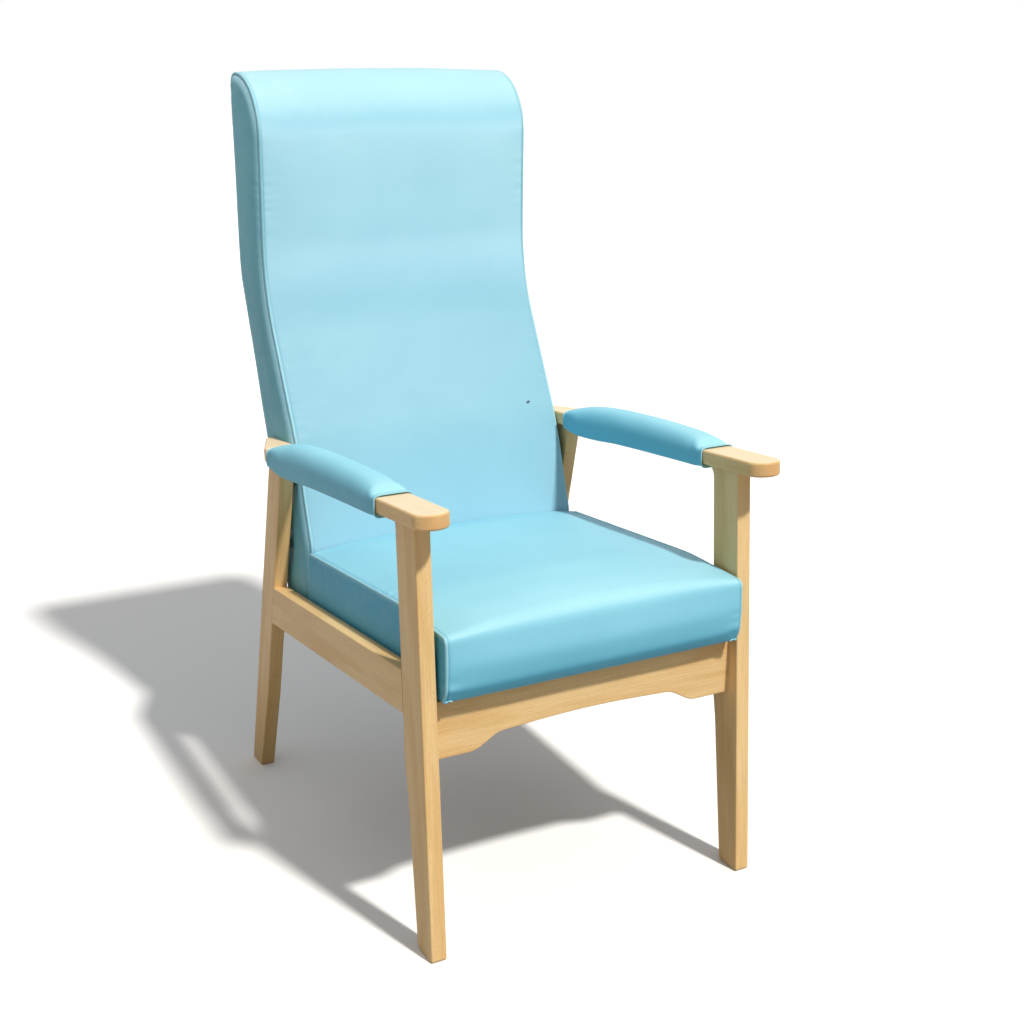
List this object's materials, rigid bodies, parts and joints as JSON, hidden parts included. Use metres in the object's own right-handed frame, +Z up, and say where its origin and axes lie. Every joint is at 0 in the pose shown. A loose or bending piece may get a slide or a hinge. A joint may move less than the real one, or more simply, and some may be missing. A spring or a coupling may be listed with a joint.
{
  "type": "high-back chair",
  "caption": "High-back armchair with a pale wooden frame, boxed padded seat, tall curved padded back with a rolled head and wrapped arm pads.",
  "frame": {"origin": "middle of the whole chair's footprint, at floor level", "axes": "+Z up, the chair faces -Y, +X to the right of a viewer who stands in front of it and looks at it"},
  "size_m": [0.58, 0.8203, 1.153],
  "materials": {
    "beech": "clear satin lacquer over pale beech",
    "frame_wood": "plain sawn softwood",
    "vinyl": "light blue upholstery vinyl with a fine grain and a soft sheen",
    "piping": "vinyl wrapped over cord",
    "foam": "open cell foam",
    "webbing": "woven elastic webbing",
    "hardboard": "pressed hardboard",
    "dust_cloth": "black non-woven cloth",
    "spacer_plastic": "matt nylon",
    "zinc_steel": "bright zinc plate"
  },
  "bodies": {
    "root": {"arm_left": "beech", "arm_pad_cover_left": "vinyl", "arm_pad_cover_right": "vinyl", "arm_pad_foam_left": "foam", "arm_pad_foam_right": "foam", "arm_right": "beech", "back_board": "hardboard", "back_bolt_inserts": "zinc_steel", "back_bolt_washers": "zinc_steel", "back_bolts": "zinc_steel", "back_border_left": "vinyl", "back_border_right": "vinyl", "back_cover": "vinyl", "back_foam": "foam", "back_foot_rail": "frame_wood", "back_middle_rail": "frame_wood", "back_piping_left": "piping", "back_piping_right": "piping", "back_spacers": "spacer_plastic", "back_stile_left": "frame_wood", "back_stile_right": "frame_wood", "back_top_rail": "frame_wood", "back_webbing": "webbing", "corner_block_left": "beech", "corner_block_right": "beech", "corner_block_screws": "zinc_steel", "dust_cover_staples": "zinc_steel", "front_leg_left": "beech", "front_leg_right": "beech", "front_rail": "beech", "leg_pins": "zinc_steel", "outside_back_cover": "vinyl", "rail_dowels": "beech", "rear_leg_left": "beech", "rear_leg_right": "beech", "rear_rail": "beech", "seat_cover": "vinyl", "seat_dust_cover": "dust_cloth", "seat_fixing_screws": "zinc_steel", "seat_foam": "foam", "seat_frame_front": "frame_wood", "seat_frame_left": "frame_wood", "seat_frame_rear": "frame_wood", "seat_frame_right": "frame_wood", "seat_piping_left": "piping", "seat_piping_right": "piping", "seat_side_panel_left": "vinyl", "seat_side_panel_right": "vinyl", "seat_webbing": "webbing", "side_frame_dowels_left": "beech", "side_frame_dowels_right": "beech", "side_rail_left": "beech", "side_rail_right": "beech"}
  },
  "joints": []
}
